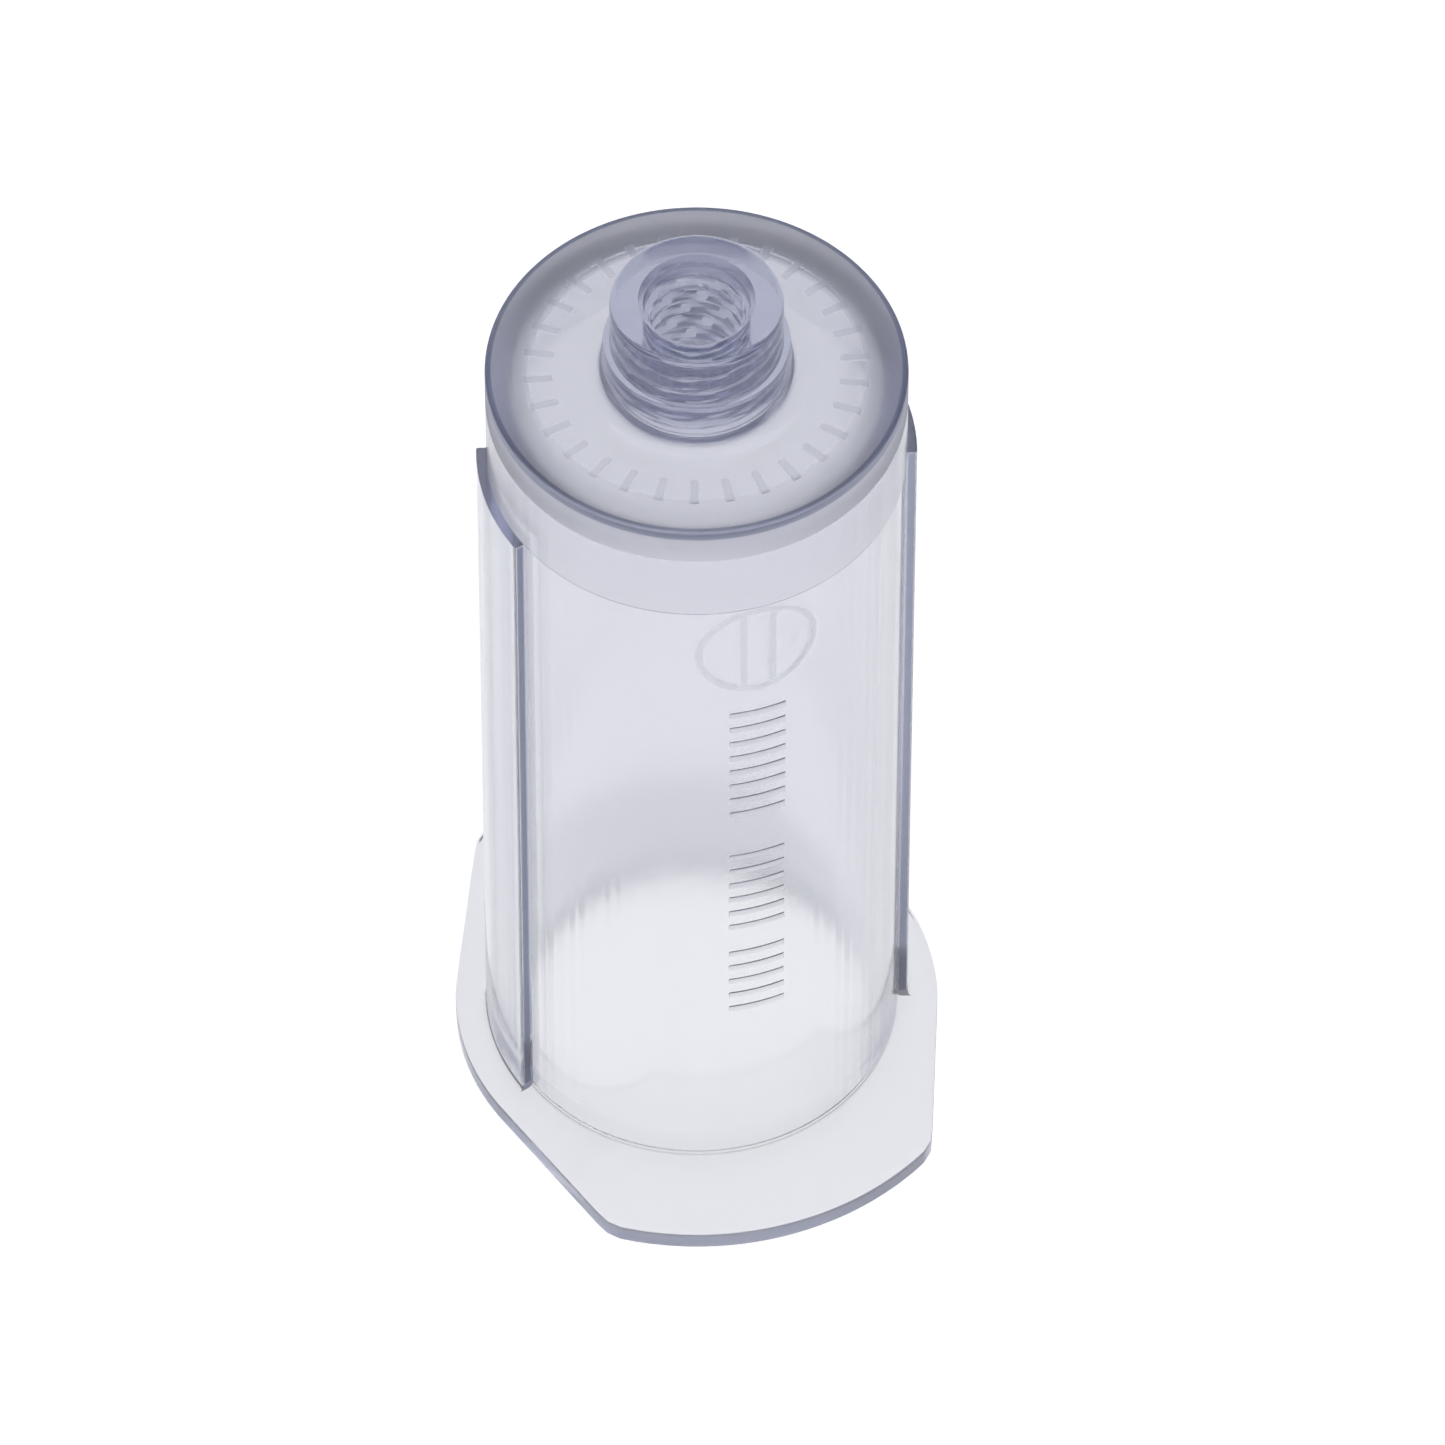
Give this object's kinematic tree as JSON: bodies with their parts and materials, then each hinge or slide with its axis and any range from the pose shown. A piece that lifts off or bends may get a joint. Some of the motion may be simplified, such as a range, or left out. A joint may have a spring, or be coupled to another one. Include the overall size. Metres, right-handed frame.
{
  "type": "blood collection tube holder",
  "caption": "Clear plastic single-use blood collection tube holder: an open barrel with a finger flange, grip pads on its sides and a threaded needle hub on its closed end.",
  "frame": {"origin": "centre of the flange's underside, on the axis of the barrel", "axes": "+Z along the barrel axis towards the needle hub; the flange is longest along Y, with the front finger tab at -Y; +X to the right when facing the front tab"},
  "size_m": [0.0252, 0.0314, 0.0577],
  "materials": {
    "clear_plastic": "clear, glossy, with a faint lilac tint"
  },
  "bodies": {
    "root": {"flange_plate": "clear_plastic", "finger_tab_front": "clear_plastic", "finger_tab_rear": "clear_plastic", "barrel_foot": "clear_plastic", "barrel_tube": "clear_plastic", "grip_pad_left": "clear_plastic", "grip_pad_right": "clear_plastic", "end_collar": "clear_plastic", "end_wall": "clear_plastic", "needle_hub": "clear_plastic", "hub_step_ring": "clear_plastic", "hub_thread": "clear_plastic", "face_marks": "clear_plastic", "barrel_badge": "clear_plastic", "barrel_ticks": "clear_plastic"}
  },
  "joints": []
}
